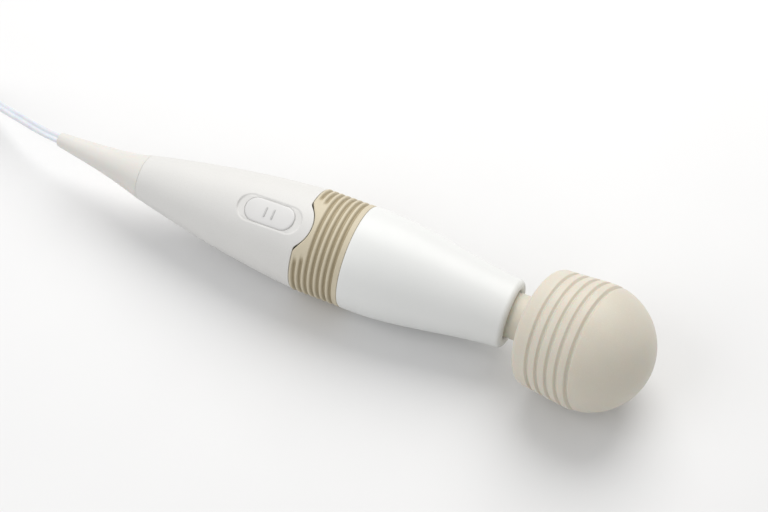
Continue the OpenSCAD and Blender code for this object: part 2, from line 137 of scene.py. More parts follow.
def at_button(points):
    """Points in the button's own frame: x along the handle, z outwards."""
    p = np.asarray(points, float)
    c, s = math.cos(BUTTON_SLOPE), math.sin(BUTTON_SLOPE)
    along = BUTTON_AT + p[..., 0] * c - p[..., 2] * s
    out = BUTTON_R + p[..., 0] * s + p[..., 2] * c
    c, s = math.cos(BUTTON_ROLL), math.sin(BUTTON_ROLL)
    return row(np.stack([along, p[..., 1] * c - out * s, GRIP_R + p[..., 1] * s + out * c], -1))


# ---------------------------------------------------------------- meshes


def mesh_object(name, verts, faces, sharp=40):
    """A smooth-shaded mesh, with hard edges where its faces meet at more than sharp degrees."""
    mesh = bpy.data.meshes.new(name)
    mesh.from_pydata([tuple(v) for v in verts], [], faces)
    mesh.validate()
    mesh.polygons.foreach_set("use_smooth", [True] * len(mesh.polygons))
    mesh.set_sharp_from_angle(angle=math.radians(sharp))
    obj = bpy.data.objects.new(name, mesh)
    bpy.context.scene.collection.objects.link(obj)
    return obj


def grid_faces(rows, cols):
    """Four-sided faces between rings of points, each of which runs back to its own start."""
    faces = []
    for i in range(rows - 1):
        for j in range(cols):
            k = (j + 1) % cols
            faces.append((i * cols + j, i * cols + k, (i + 1) * cols + k, (i + 1) * cols + j))
    return faces


def tube_object(name, rings, caps=True, sharp=40, closed=False):
    """A skin through equal rings of points. caps fills its two ends, and closed joins them."""
    rings = np.asarray(rings)
    n, m = rings.shape[:2]
    verts = rings.reshape(-1, 3)
    faces = grid_faces(n, m)
    if closed:
        faces += [((n - 1) * m + j, (n - 1) * m + (j + 1) % m, (j + 1) % m, j) for j in range(m)]
    elif caps:
        verts = np.vstack([verts, rings[0].mean(0), rings[-1].mean(0)])
        first, last = n * m, n * m + 1
        faces += [(first, (j + 1) % m, j) for j in range(m)]
        faces += [(last, (n - 1) * m + j, (n - 1) * m + (j + 1) % m) for j in range(m)]
    return mesh_object(name, verts, faces, sharp)


def lathe(name, profile, place, cols, sharp=40, caps=True):
    """Turns [station, radius] points round an axis. place puts (s, r, angle) in the row frame."""
    profile = np.asarray(profile, float)
    phi = np.linspace(0, 2 * math.pi, cols, endpoint=False)
    rings = place(profile[:, 0][:, None], profile[:, 1][:, None], phi[None, :])
    return tube_object(name, rings, caps, sharp)


def round_head(s, r, phi):
    """Points round the head's own axis, with s from the bending point."""
    s, r, phi = np.broadcast_arrays(s, r, phi)
    return on_head(np.stack([s, -r * np.sin(phi), r * np.cos(phi)], -1))


def arc(cx, cy, r, start, end, n):
    """Points along an arc, from one angle in degrees to another."""
    a = np.radians(np.linspace(start, end, n))
    return np.stack([cx + r * np.cos(a), cy + r * np.sin(a)], 1)


def smooth(x):
    """Eases from 0 to 1 as x goes from 0 to 1."""
    x = np.clip(x, 0, 1)
    return x * x * (3 - 2 * x)


def stadium_distance(x, y, length, width):
    """Distance outside an oval's edge. It is negative inside."""
    return np.hypot(np.maximum(np.abs(x) - (length - width) / 2, 0), y) - width / 2


def catmull(points, step):
    """A smooth curve through points, sampled about every step."""
    p = np.asarray(points, float)
    p = np.vstack([2 * p[0] - p[1], p, 2 * p[-1] - p[-2]])
    out = []
    for a, b, c, d in zip(p, p[1:], p[2:], p[3:]):
        n = max(2, int(math.ceil(np.linalg.norm(c - b) / step)))
        t = np.arange(n)[:, None] / n
        out.append(0.5 * (2 * b + (c - a) * t + (2 * a - 5 * b + 4 * c - d) * t ** 2
                          + (3 * b - a - 3 * c + d) * t ** 3))
    return np.vstack(out + [p[-2:-1]])


# ---------------------------------------------------------------- camera
VIEW_AZ, VIEW_EL, VIEW_DISTANCE = math.radians(24.5), math.radians(55), 1020.0
AIM, LENS, SENSOR_W = row([181.8, 23.0, 0]), 91.875, 36
camera = bpy.data.objects.new("camera", bpy.data.cameras.new("camera"))
bpy.context.scene.collection.objects.link(camera)
camera.data.lens = LENS
camera.data.sensor_width = SENSOR_W
camera.data.clip_start = 0.02
back = Vector((math.sin(VIEW_AZ) * math.cos(VIEW_EL), -math.cos(VIEW_AZ) * math.cos(VIEW_EL),
               math.sin(VIEW_EL)))
camera.location = Vector(AIM) + back * VIEW_DISTANCE * MM
camera.rotation_euler = back.to_track_quat("Z", "Y").to_euler()
bpy.context.scene.camera = camera

# ---------------------------------------------------------------- materials


class Look:
    """Builds one procedural material, in metres of object space."""

    def __init__(self, name, color, rough=0.5, metallic=0.0, **sockets):
        self.mat = bpy.data.materials.new(name)
        self.mat.use_nodes = True
        self.mat.diffuse_color = (*color, 1)
        self.tree = self.mat.node_tree
        self.shader = self.tree.nodes["Principled BSDF"]
        self.coords = self.tree.nodes.new("ShaderNodeTexCoord").outputs["Object"]
        self.color = color
        self.shader.inputs["Base Color"].default_value = (*color, 1)
        self.shader.inputs["Roughness"].default_value = rough
        self.shader.inputs["Metallic"].default_value = metallic
        for key, value in sockets.items():
            self.shader.inputs[key.replace("_", " ")].default_value = value
        self.height = None

    def node(self, kind, inputs, **settings):
        """Adds a node. Each input is a plain value or another node's output."""
        made = self.tree.nodes.new(kind)
        for key, value in settings.items():
            setattr(made, key, value)
        for key, value in inputs.items():
            if hasattr(value, "is_linked"):
                self.tree.links.new(value, made.inputs[key])
            else:
                made.inputs[key].default_value = value
        return made

    def noise(self, size_mm, detail=3.0, rough=0.55, stretch=(1, 1, 1)):
        """Noise whose features are about size_mm across."""
        at = self.coords
        if stretch != (1, 1, 1):
            at = self.node("ShaderNodeMapping", {"Vector": at, "Scale": stretch}).outputs[0]
        return self.node("ShaderNodeTexNoise", {"Vector": at, "Scale": 1000 / size_mm,
                                                "Detail": detail, "Roughness": rough}).outputs["Fac"]

    def cells(self, size_mm):
        """Distance from the middle of the nearest cell, for a pebbled or woven surface."""
        return self.node("ShaderNodeTexVoronoi", {"Vector": self.coords, "Scale": 1000 / size_mm},
                         feature="F1").outputs["Distance"]

    def from_axis(self):
        """Distance from the handle's axis, in mm."""
        at = self.node("ShaderNodeMapping", {"Vector": self.coords, "Scale": (0, 1000, 1000),
                                             "Location": (0, MID_Y, -GRIP_R)}).outputs[0]
        return self.node("ShaderNodeVectorMath", {0: at}, operation="LENGTH").outputs["Value"]

    def remap(self, fac, low, high, to_low=0.0, to_high=1.0):
        """Moves a value from one range to another, and holds it inside the second."""
        return self.node("ShaderNodeMapRange", {"Value": fac, "From Min": low, "From Max": high,
                                                "To Min": to_low, "To Max": to_high}).outputs[0]

    def tint(self, fac, other, low=0.35, high=0.65):
        """Drifts the base colour towards other where fac is high."""
        socket = self.shader.inputs["Base Color"]
        mixed = self.node("ShaderNodeMix", {"Factor": self.remap(fac, low, high)}, data_type="RGBA")
        if socket.is_linked:
            self.tree.links.new(socket.links[0].from_socket, mixed.inputs["A"])
        else:
            mixed.inputs["A"].default_value = (*self.color, 1)
        mixed.inputs["B"].default_value = (*other, 1)
        self.tree.links.new(mixed.outputs["Result"], socket)
        return self

    def gloss(self, fac, low, high):
        """Varies roughness from low to high with fac."""
        self.tree.links.new(self.remap(fac, 0.3, 0.7, low, high), self.shader.inputs["Roughness"])
        return self

    def bump(self, fac, height_mm, strength=1.0):
        inputs = {"Height": fac, "Distance": height_mm * MM, "Strength": strength}
        if self.height is not None:
            inputs["Normal"] = self.height
        self.height = self.node("ShaderNodeBump", inputs).outputs["Normal"]
        self.tree.links.new(self.height, self.shader.inputs["Normal"])
        return self


def shade(color, factor):
    return tuple(c * factor for c in color)


def shell_look():
    look = Look("shell_matte", (0.69, 0.682, 0.662), 0.5, Specular_IOR_Level=0.45)
    look.tint(look.noise(38, 2), (0.672, 0.666, 0.65))
    look.tint(look.noise(0.5, 2), (0.645, 0.636, 0.612), 0.5, 0.8)
    look.gloss(look.noise(0.9, 3), 0.42, 0.6)
    look.bump(look.noise(0.55, 3, 0.6), 0.07, 0.8)
    look.bump(look.cells(0.8), 0.03, 0.6)
    return look.mat


def boot_look():
    look = Look("boot_soft", (0.69, 0.67, 0.635), 0.42, Specular_IOR_Level=0.45,
                Subsurface_Weight=0.12, Subsurface_Scale=0.004)
    look.tint(look.noise(24, 2), (0.672, 0.655, 0.62))
    look.gloss(look.noise(3, 3), 0.36, 0.5)
    look.bump(look.noise(1.4, 2), 0.02, 0.6)
    return look.mat


def front_look():
    look = Look("front_gloss", (0.75, 0.755, 0.743), 0.4, Specular_IOR_Level=0.35, Coat_Weight=0.12,
                Coat_Roughness=0.35)
    look.tint(look.noise(45, 2), (0.735, 0.743, 0.73))
    look.gloss(look.noise(9, 3), 0.36, 0.46)
    look.bump(look.noise(6, 2, 0.4), 0.012, 0.5)
    return look.mat


def grip_look():
    look = Look("grip_rubber", (0.60, 0.535, 0.40), 0.55, Specular_IOR_Level=0.4)
    look.tint(look.noise(14, 3), (0.575, 0.51, 0.38))
    look.tint(look.noise(0.7, 2), (0.63, 0.565, 0.43), 0.5, 0.8)
    # Painted shade: the grooves are coloured darker the deeper they cut, for the shade that falls in
    # them.
    look.tint(look.from_axis(), (0.40, 0.34, 0.225), GRIP_R - 0.3, GRIP_R - 1.5)
    look.gloss(look.noise(1.2, 3), 0.48, 0.66)
    look.bump(look.noise(0.5, 3), 0.04, 0.7)
    return look.mat


def silicone_look():
    look = Look("silicone", (0.645, 0.605, 0.515), 0.5, Specular_IOR_Level=0.35,
                Subsurface_Weight=0.25, Subsurface_Scale=0.005, Sheen_Weight=0.1,
                Sheen_Roughness=0.45)
    look.tint(look.noise(30, 3), (0.62, 0.58, 0.49))
    look.tint(look.noise(0.6, 2), (0.68, 0.64, 0.555), 0.55, 0.85)
    look.gloss(look.noise(1.5, 3), 0.44, 0.58)
    look.bump(look.noise(0.4, 3), 0.025, 0.6)
    look.bump(look.noise(5, 2), 0.04, 0.4)
    return look.mat


def pad_look():
    look = Look("button_pad", (0.68, 0.675, 0.665), 0.45, Specular_IOR_Level=0.45)
    look.tint(look.noise(12, 2), (0.665, 0.66, 0.65))
    look.gloss(look.noise(1.0, 3), 0.4, 0.52)
    look.bump(look.noise(0.5, 2), 0.03, 0.6)
    return look.mat


# Painted shade: the raised bars are coloured a darker grey than the pad, for the shade on their sides.
def bar_shade_look():
    look = Look("button_bar_painted_shade", (0.50, 0.50, 0.49), 0.5, Specular_IOR_Level=0.4)
    look.tint(look.noise(2, 2), (0.56, 0.56, 0.55))
    look.bump(look.noise(0.4, 2), 0.02, 0.6)
    return look.mat


def cord_look():
    look = Look("cord_pvc", (0.67, 0.70, 0.755), 0.3, Specular_IOR_Level=0.5,
                Subsurface_Weight=0.35, Subsurface_Scale=0.0015, Coat_Weight=0.25,
                Coat_Roughness=0.2)
    look.tint(look.noise(9, 3), (0.72, 0.75, 0.79))
    look.gloss(look.noise(2, 3), 0.26, 0.38)
    look.bump(look.noise(0.8, 3), 0.02, 0.5)
    return look.mat


def plug_look():
    look = Look("plug_pvc", (0.76, 0.75, 0.715), 0.42, Specular_IOR_Level=0.45)
    look.tint(look.noise(8, 3), (0.735, 0.725, 0.69))
    look.gloss(look.noise(1.5, 3), 0.36, 0.5)
    look.bump(look.noise(0.5, 3), 0.04, 0.6)
    return look.mat


def strap_look():
    look = Look("tie_strap", (0.045, 0.045, 0.048), 0.75, Sheen_Weight=0.3, Sheen_Roughness=0.5)
    look.tint(look.noise(0.8, 2), (0.08, 0.08, 0.085), 0.45, 0.7)
    look.bump(look.cells(0.45), 0.12, 0.9)
    return look.mat


def metal_look(name, color, rough, grain=(1, 14, 14)):
    """Bare metal with fine marks from turning or drawing, which run along the grain."""
    look = Look(name, color, rough, 1.0)
    look.tint(look.noise(4, 4), shade(color, 0.86))
    look.gloss(look.noise(0.9, 4, 0.6, grain), rough * 0.75, rough * 1.3)
    look.bump(look.noise(0.7, 3, 0.6, grain), 0.006, 0.5)
    return look.mat


def plain_look(name, color, rough):
    """Moulded plastic or rubber, for pieces that are mostly hidden."""
    look = Look(name, color, rough)
    look.tint(look.noise(5, 3), shade(color, 0.85))
    look.gloss(look.noise(1.2, 3), rough * 0.85, min(0.95, rough * 1.15))
    look.bump(look.noise(0.6, 3), 0.03, 0.6)
    return look.mat


LOOKS = {
    "shell_white": shell_look(),
    "tail_boot": boot_look(),
    "front_gloss": front_look(),
    "grip_rubber": grip_look(),
    "silicone": silicone_look(),
    "button_pad": pad_look(),
    "cord_pvc": cord_look(),
    "plug_pvc": plug_look(),
    "tie": strap_look(),
    # Painted shade: the seal slot is near black, for the shade in the gap between the neck and the
    # mouth.
    "seal": plain_look("mouth_gap_shade", (0.05, 0.045, 0.04), 0.75),
    "frame_plastic": plain_look("frame_plastic", (0.06, 0.065, 0.07), 0.5),
    "motor_steel": metal_look("motor_steel", (0.50, 0.52, 0.54), 0.32),
    "magnet": plain_look("magnet", (0.08, 0.075, 0.07), 0.6),
    "carbon": plain_look("carbon", (0.03, 0.03, 0.03), 0.7),
    "bronze": metal_look("bronze", (0.60, 0.40, 0.18), 0.35),
    "copper": metal_look("copper", (0.72, 0.30, 0.14), 0.3, (1, 1, 30)),
    "steel": metal_look("turned_steel", (0.60, 0.61, 0.63), 0.25),
    "screw_steel": metal_look("screw_steel", (0.52, 0.53, 0.54), 0.35),
    "lead_wire": plain_look("lead_wire", (0.35, 0.04, 0.03), 0.4),
    "board_green": plain_look("board_green", (0.04, 0.20, 0.08), 0.4),
    "component_black": plain_look("component_black", (0.03, 0.03, 0.032), 0.35),
    "capacitor_sleeve": plain_look("capacitor_sleeve", (0.05, 0.09, 0.26), 0.3),
    "ceramic": plain_look("ceramic", (0.60, 0.50, 0.34), 0.3),
    "hard_core": plain_look("hard_core", (0.66, 0.66, 0.64), 0.45),
    "neck_rubber": plain_look("neck_rubber", (0.09, 0.085, 0.08), 0.65),
    "weight_iron": metal_look("weight_iron", (0.28, 0.27, 0.25), 0.45),
    "blade_brass": metal_look("blade_brass", (0.72, 0.69, 0.60), 0.22),
}
BAR_PAINTED_SHADE = bar_shade_look()


def finish_piece(obj, body, slot, *nodes):
    """Gives a piece the material of its slot, puts it on its body, and hides the CAD nodes that it
    stands for.
    """
    obj.data.materials.clear()
    obj.data.materials.append(LOOKS[slot])
    if body:
        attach(obj, body)
    if nodes:
        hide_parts(*nodes)
    return obj


for part in frame["record"]["subparts"]:
    cad = frame["nodes"][part["node"]]
    cad.data.materials.clear()
    cad.data.materials.append(LOOKS[part["material_slot"]])

# ---------------------------------------------------------------- mains lead
CORD_ROUTE = [
    [3.6, 3.4, 27], [-5, 4.2, 26.7], [-14, 6.2, 25.6], [-23, 9.1, 23.4], [-32, 12.4, 20.2],
    [-41, 16.1, 16.5], [-50, 20.1, 12.8], [-59, 24.3, 9.4], [-68, 28.5, 6.6], [-77, 32.5, 4.5],
    [-86, 36.1, 3.2], [-95, 39.1, 2.5], [-104, 41.3, 2.2], [-113, 42.6, 2.15], [-122, 43, 2.15]
]
PLUG_ROUTE = [
    [-122, 43, 10.55], [-129, 43, 10.3], [-136, 43.2, 9.6], [-144, 43.7, 8.3], [-152, 44, 7.6]
]
COIL_X, COIL_Y = -122.0, 43 - COIL_R - TURN_GAP / 2
PLUG_X, PLUG_Y, PLUG_Z = PLUG_ROUTE[-1]
PLUG_BOOT_LEN, PLUG_W, PLUG_T = 22.0, 23.0, 15.2


def coil_route():
    """Eight turns in two columns and four layers, from the outer bottom turn to the outer top one."""
    column = [1, -1, -1, 1, 1, -1, -1, 1, 1]
    layer = [0, 0, 1, 1, 2, 2, 3, 3, 3]
    per_turn = 72
    points = []
    for turn in range(8):
        for i in range(per_turn):
            t = i / per_turn
            shift = smooth(np.array((t - 0.7) / 0.3))
            side = column[turn] + (column[turn + 1] - column[turn]) * shift
            level = layer[turn] + (layer[turn + 1] - layer[turn]) * shift
            r = COIL_R + side * TURN_GAP / 2
            a = math.radians(90) + 2 * math.pi * t
            points.append([COIL_X + r * math.cos(a), COIL_Y + r * math.sin(a),
                           COIL_LOW + CORD_T / 2 + level * LAYER_GAP])
    return np.array(points)


lead_start = catmull(CORD_ROUTE, 2.0)
lead_path = np.vstack([lead_start[:-1], coil_route(), catmull(PLUG_ROUTE, 2.0)])


def twin_section():
    """Two cores side by side with a groove between them."""
    core, apart = CORD_T / 2, (CORD_W - CORD_T) / 2
    right = [(apart + core * math.cos(a), core * math.sin(a))
             for a in np.radians(np.linspace(-140, 140, 13))]
    return np.array(right + [(-x, -y) for x, y in right])


def sweep(name, path, section, rolls):
    """Carries a cross-section along a path in mm, rolled by a given angle at each point."""
    rings = []
    tangent = np.gradient(path, axis=0)
    tangent /= np.linalg.norm(tangent, axis=1)[:, None]
    for p, t, roll in zip(path, tangent, rolls):
        side = np.cross([0, 0, 1], t)
        side /= np.linalg.norm(side)
        up = np.cross(t, side)
        c, s = math.cos(roll), math.sin(roll)
        rings.append([p + side * (x * c - y * s) + up * (x * s + y * c) for x, y in section])
    return tube_object(name, row(np.array(rings)), sharp=50)


# The lead leaves the tail rolled like the button, and lies flat by the time it meets the table.
ROLLED_OUT = 70
travel = np.concatenate([[0], np.cumsum(np.linalg.norm(np.diff(lead_path, axis=0), axis=1))])
lead = sweep("mains_lead", lead_path, twin_section(),
             -BUTTON_ROLL * (1 - smooth(travel / ROLLED_OUT)))
finish_piece(lead, "handle", "cord_pvc", "power_cord", "cord_coil", "plug_lead")


def plug_place(s, r, phi):
    """Points round the plug's axis, with s from the lead's end towards the blades."""
    s, r, phi = np.broadcast_arrays(s, r, phi)
    return row(np.stack([PLUG_X - s, PLUG_Y - r * np.sin(phi), PLUG_Z + r * np.cos(phi)], -1))


def plug_boot_profile():
    """A tapered strain relief with seven grooves."""
    points = [(-0.4, 2.9), (0.0, 3.1)]
    for i in range(7):
        s = 1.6 + 2.9 * i
        r = 3.2 + 2.2 * s / PLUG_BOOT_LEN
        points += [(s - 0.9, r), (s - 0.5, r - 0.5), (s + 0.3, r - 0.5), (s + 0.7, r + 0.05)]
    return points + [(PLUG_BOOT_LEN - 0.6, 5.35), (PLUG_BOOT_LEN + 0.5, 5.3)]


plug_boot = finish_piece(lathe("plug_boot_ribbed", plug_boot_profile(), plug_place, 48, 30),
                         "handle", "plug_pvc", "plug_boot")


def plug_body_rings():
    """Rounded box sections along the plug, pinched where the fingers hold it."""
    stations = [(0, 0.62), (0.35, 0.8), (1.2, 0.93), (2.6, 1.0)]
    stations += [(s, 1 - 0.07 * math.sin(math.pi * (s - 4) / 15) ** 2) for s in range(4, 20)]
    stations += [(21, 1.0), (22.6, 0.995), (23.5, 0.97), (23.9, 0.93), (24, 0.87)]
    boxy = 0.42
    rings = []
    for s, k in stations:
        ring = []
        for a in np.linspace(0, 2 * math.pi, 72, endpoint=False):
            c, d = math.cos(a), math.sin(a)
            y = PLUG_W / 2 * math.copysign(abs(c) ** boxy, c) * (1 if s > 20 else k)
            z = PLUG_T / 2 * math.copysign(abs(d) ** boxy, d) * k
            ring.append([PLUG_X - PLUG_BOOT_LEN - s, PLUG_Y + y * min(1, k + 0.02), PLUG_Z + z])
        rings.append(ring)
    return row(np.array(rings))


plug_body = finish_piece(tube_object("plug_grip", plug_body_rings()[:, ::-1], sharp=60),
                         "handle", "plug_pvc", "plug_body")


def tie_rings():
    """A strap in a closed loop round the coil's turns, with rounded edges."""
    half_w = TURN_GAP / 2 + CORD_W / 2 + 0.35
    low, high = 0.4, COIL_LOW + 3 * LAYER_GAP + CORD_T + 0.4
    corner = 1.6
    loop = []
    for cx, cz, start in ((half_w - corner, high - corner, 0), (-half_w + corner, high - corner, 90),
                          (-half_w + corner, low + 0.5, 180), (half_w - corner, low + 0.5, 270)):
        r = corner if cz > 2 else 0.5
        cx = cx if cz > 2 else math.copysign(half_w - 0.5, cx)
        for a in np.radians(np.linspace(start, start + 90, 7)):
            loop.append((cx + r * math.cos(a), cz + r * math.sin(a), math.cos(a), math.sin(a)))
    section = [(-4.5, -0.25), (-4.2, -0.38), (4.2, -0.38), (4.5, -0.25), (4.5, 0.2), (4.2, 0.35),
               (-4.2, 0.35), (-4.5, 0.2)]
    rings = []
    for x, z, nx, nz in loop:
        rings.append([[COIL_X - COIL_R - x - nx * t, COIL_Y + w, z + nz * t] for w, t in section])
    return row(np.array(rings))


tie = finish_piece(tube_object("tie_strap", tie_rings(), closed=True, sharp=45), "handle", "tie",
                   "cord_tie")

# ---------------------------------------------------------------- tail boot
boot_profile = [(TAIL_TIP + s, r) for s, r in
                ((0.6, 2.65), (0.15, 2.75), (0.0, 3.05), (0.1, 3.4), (0.45, 3.7), (1.1, 3.88))]
boot_profile += [tuple(p) for p in BOOT[3:-1]]
boot_profile += [(BOOT_LEN - 0.08, 11.96), (BOOT_LEN, 11.8), (BOOT_LEN + 0.2, 11.0)]
finish_piece(lathe("tail_boot_soft", boot_profile, on_boot, 128), "handle", "tail_boot",
             "tail_boot")

# ---------------------------------------------------------------- rear shell
LOBE_SURFACE_R = 26.8
RECESS_DEPTH, SLOT_DEPTH = 1.3, 1.1


def angle_away(phi):
    """Angle from the middle of the button, from 0 to pi either way round."""
    return np.abs((phi + math.pi) % (2 * math.pi) - math.pi)


def lobe_edge(phi, gap=0.0, round_over=1.6):
    """Station of the rear shell's front edge, with the lobe that runs into the grip ring."""
    r = LOBE_R + gap
    across = LOBE_SURFACE_R * np.sin(np.minimum(angle_away(phi), math.pi / 2))
    lobe = LOBE_AT + np.sqrt(np.maximum(r * r - across ** 2, 0))
    edge = np.full_like(lobe, GRIP_START + gap * 0.8)
    corner = np.maximum(round_over - np.abs(lobe - edge), 0) ** 2 / (4 * round_over)
    return np.maximum(lobe, edge) + corner


def button_local(s, r, phi):
    """Points on the handle in the button's own frame: along, across and outwards."""
    c, d = math.cos(BUTTON_SLOPE), math.sin(BUTTON_SLOPE)
    ds, dr = s - BUTTON_AT, r * np.cos(phi) - BUTTON_R
    return ds * c + dr * d, -r * np.sin(phi), -ds * d + dr * c


def floor_radius(s, phi, depth):
    """Radius of a flat floor that lies depth below the surface under the button."""
    c, d = math.cos(BUTTON_SLOPE), math.sin(BUTTON_SLOPE)
    return (BUTTON_R + (-depth + (s - BUTTON_AT) * d) / c) / np.maximum(np.cos(phi), 0.2)


def shell_radius(s, phi):
    """Radius of the rear shell, with the button's recess and the slot round its pad."""
    base = rear_radius(s)
    near = np.abs(phi) < 1.2
    x, y, _ = button_local(s, base, phi)
    wall = stadium_distance(x, y, RECESS_LEN, RECESS_W)
    pocket = np.minimum(base - 0.5, floor_radius(s, phi, RECESS_DEPTH))
    r = base + (pocket - base) * smooth((0.3 - wall) / 0.65) * near
    slot = stadium_distance(x, y, PAD_LEN + 0.4, PAD_W + 0.4)
    return r - SLOT_DEPTH * smooth((0.1 - slot) / 0.4) * near


def fine_angles():
    """Angles round the shell, closer together round the button and the lobe."""
    fine = np.radians(np.arange(-36, 36.01, 0.8))
    coarse = np.radians(np.arange(39, 322, 3.0))
    return np.concatenate([fine, coarse])


phi = fine_angles()
rows_s = [np.full_like(phi, s) for s in np.concatenate(
    [[57.06, 57.12, 57.3, 58.2], np.arange(59.5, 110, 1.6), np.arange(110.4, 142, 0.4)])]
edge = lobe_edge(phi)
for v in np.linspace(0, 1, 44):
    rows_s.append(142 + v * (edge - 0.45 - 142))
rows_r = [shell_radius(s, phi) for s in rows_s]
rows_r[0] = rows_r[0] - 0.14
rows_r[1] = rows_r[1] - 0.03
for ahead, down in ((0.22, 0.06), (0.38, 0.2), (0.45, 0.42), (0.45, 1.2), (0.45, 2.6)):
    rows_s.append(edge - 0.45 + ahead)
    rows_r.append(rear_radius(edge) - down)
rows_s = [rows_s[0]] + rows_s
rows_r = [rows_r[0] - 1.2] + rows_r
shell = tube_object("rear_shell_skin", on_handle(np.array(rows_s), np.array(rows_r), phi[None, :]),
                    caps=False, sharp=50)
finish_piece(shell, "handle", "shell_white", "rear_shell")

# ---------------------------------------------------------------- grip ring
RIBS = [GRIP_START + 2.6 + 3.35 * i for i in range(7)]
RIB_DEPTH = 1.5
STOPS, STOP_FADE = [math.radians(32), math.radians(28)], math.radians(13)


def grip_radius(s, phi):
    """Radius of the grip ring. Its first two grooves fade out beside the button's lobe."""
    r = np.full_like(s, GRIP_R)
    for i, at in enumerate(RIBS):
        apart = np.abs(s - at)
        cut = RIB_DEPTH * smooth((1.3 - apart) / 1.05)
        if i < len(STOPS):
            cut = cut * smooth((angle_away(phi) - STOPS[i]) / STOP_FADE)
        r = r - cut
    return r


ring_phi = np.concatenate([np.radians(np.arange(-46, 46.01, 1.0)),
                           np.radians(np.arange(48, 313, 2.0))])
ring_edge = lobe_edge(ring_phi, 0.3, 3.6)
ring_s, ring_r = [], []
for back_off, down in ((0, 2.4), (0, 1.0), (0.02, 0.6), (0.12, 0.3), (0.3, 0.1)):
    ring_s.append(ring_edge + back_off)
    ring_r.append(np.full_like(ring_phi, GRIP_R - down))
for v in np.linspace(0, 1, 170):
    s = ring_edge + 0.55 + v * (GRIP_END - 0.75 - ring_edge)
    ring_s.append(s)
    ring_r.append(grip_radius(s, ring_phi))
for ahead, down in ((0.1, 0.03), (0.22, 0.12), (0.3, 0.28), (0.34, 0.6), (0.34, 2.4)):
    ring_s.append(np.full_like(ring_phi, GRIP_END - 0.2 + ahead))
    ring_r.append(np.full_like(ring_phi, GRIP_R - down))
grip = tube_object("grip_ring_ribbed",
                   on_handle(np.array(ring_s), np.array(ring_r), ring_phi[None, :]),
                   caps=False, sharp=55)
finish_piece(grip, "handle", "grip_rubber", "grip_ring")

# ---------------------------------------------------------------- front shell
front_profile = [(GRIP_END + 0.2, 24.3), (GRIP_END + 0.2, 26.6), (GRIP_END + 0.28, 26.75),
                 (GRIP_END + 0.5, 26.87), (GRIP_END + 0.9, 26.96)]
front_profile += [tuple(p) for p in FRONT if GRIP_END + 1.2 < p[0] < MOUTH_END - 3.4]
front_profile += [tuple(p) for p in arc(MOUTH_END - 3.0, 14.95, 3.0, 84, 4, 14)]
front_profile += [(MOUTH_END - 0.08, 14.3), (MOUTH_END - 0.35, 13.7), (MOUTH_END - 0.8, 13.2),
                  (MOUTH_END - 1.3, 12.85), (MOUTH_END - 1.8, 12.66), (MOUTH_END - 2.4, MOUTH_R),
                  (MOUTH_END - 5, MOUTH_R), (MOUTH_END - 5.9, 12.7)]
finish_piece(lathe("front_shell_gloss", front_profile, on_handle, 200, 35, caps=False), "handle",
             "front_gloss", "front_shell")

# ---------------------------------------------------------------- power button
BAR_R, BAR_HALF, BAR_APART = 0.47, 2.25, 4.3


def surface_drop(y):
    """How far the handle's curve has dropped at y to one side of the button's middle."""
    return BUTTON_R - math.sqrt(BUTTON_R ** 2 - y * y)


def pad_ring(inset_by, z):
    """One oval round the pad. Its two points at right angles are the middles of the straight sides."""
    flat = (PAD_LEN - PAD_W) / 2
    r = PAD_W / 2 - inset_by
    ring = []
    for a in np.linspace(0, 2 * math.pi, 120, endpoint=False):
        x, y = r * math.cos(a), r * math.sin(a)
        x += flat if math.cos(a) > 0 else -flat
        if abs(math.cos(a)) < 1e-6:
            x = 0
        ring.append([x, y, z - surface_drop(y)])
    return ring


def pad_object():
    """An oval pad that follows the handle's curve, with a soft edge."""
    edge_steps = [(0, -5), (0, -2.4), (0, -1.3), (0.05, -0.85), (0.2, -0.55), (0.45, -0.38),
                  (0.8, -0.31)]
    top_steps = [(inset_by, -0.3) for inset_by in (1.3, 2.2, 3.4, 4.6, 5.4, 5.9)]
    rings = [pad_ring(inset_by, z) for inset_by, z in edge_steps + top_steps]
    return tube_object("power_button_pad", at_button(np.array(rings)), sharp=50)


def bar_object(name, x):
    """One raised bar across the pad, with rounded ends and a rounded top."""
    rings = []
    for grow, z in ((0.1, -0.6), (0.04, -0.25), (0.0, 0.02), (-0.08, 0.13), (-0.24, 0.18)):
        ring = []
        for a in np.linspace(0, 2 * math.pi, 32, endpoint=False):
            u = (BAR_R + grow) * math.cos(a)
            v = (BAR_R + grow) * math.sin(a) + (BAR_HALF if math.sin(a) > 0 else -BAR_HALF)
            ring.append([x + u, v, z - surface_drop(v)])
        rings.append(ring)
    return tube_object(name, at_button(np.array(rings)), sharp=60)


finish_piece(pad_object(), "button", "button_pad", "power_button")
for number, x in enumerate((-BAR_APART / 2, BAR_APART / 2)):
    bar = finish_piece(bar_object(f"button_bar_{number + 1}", x), "button", "button_pad")
    # The bars get the darker grey, which is painted shade.
    bar.data.materials[0] = BAR_PAINTED_SHADE

# ---------------------------------------------------------------- neck
HANDLE_AXIS = np.array([1.0, 0, 0])
HEAD_AXIS = HEAD_TURN @ [1.0, 0, 0]
NECK_BACK, NECK_AHEAD = 12.0, 14.0
WAIST_START, WAIST_LEN, WAIST_DEPTH = -12, 28, 0.12
BASE_AT = REACH - 25


def neck_middle(t):
    """Point and direction of the neck's middle line: straight, one smooth bend, straight."""
    pivot = np.array([PIVOT_AT, 0, GRIP_R])
    if t <= -NECK_BACK:
        return pivot + HANDLE_AXIS * t, HANDLE_AXIS
    if t >= NECK_AHEAD:
        return pivot + HEAD_AXIS * t, HEAD_AXIS
    u = (t + NECK_BACK) / (NECK_BACK + NECK_AHEAD)
    a, b = pivot - HANDLE_AXIS * NECK_BACK, pivot + HEAD_AXIS * NECK_AHEAD
    point = a * (1 - u) ** 2 + 2 * pivot * u * (1 - u) + b * u * u
    direction = (pivot - a) * (1 - u) + (b - pivot) * u
    return point, direction / np.linalg.norm(direction)


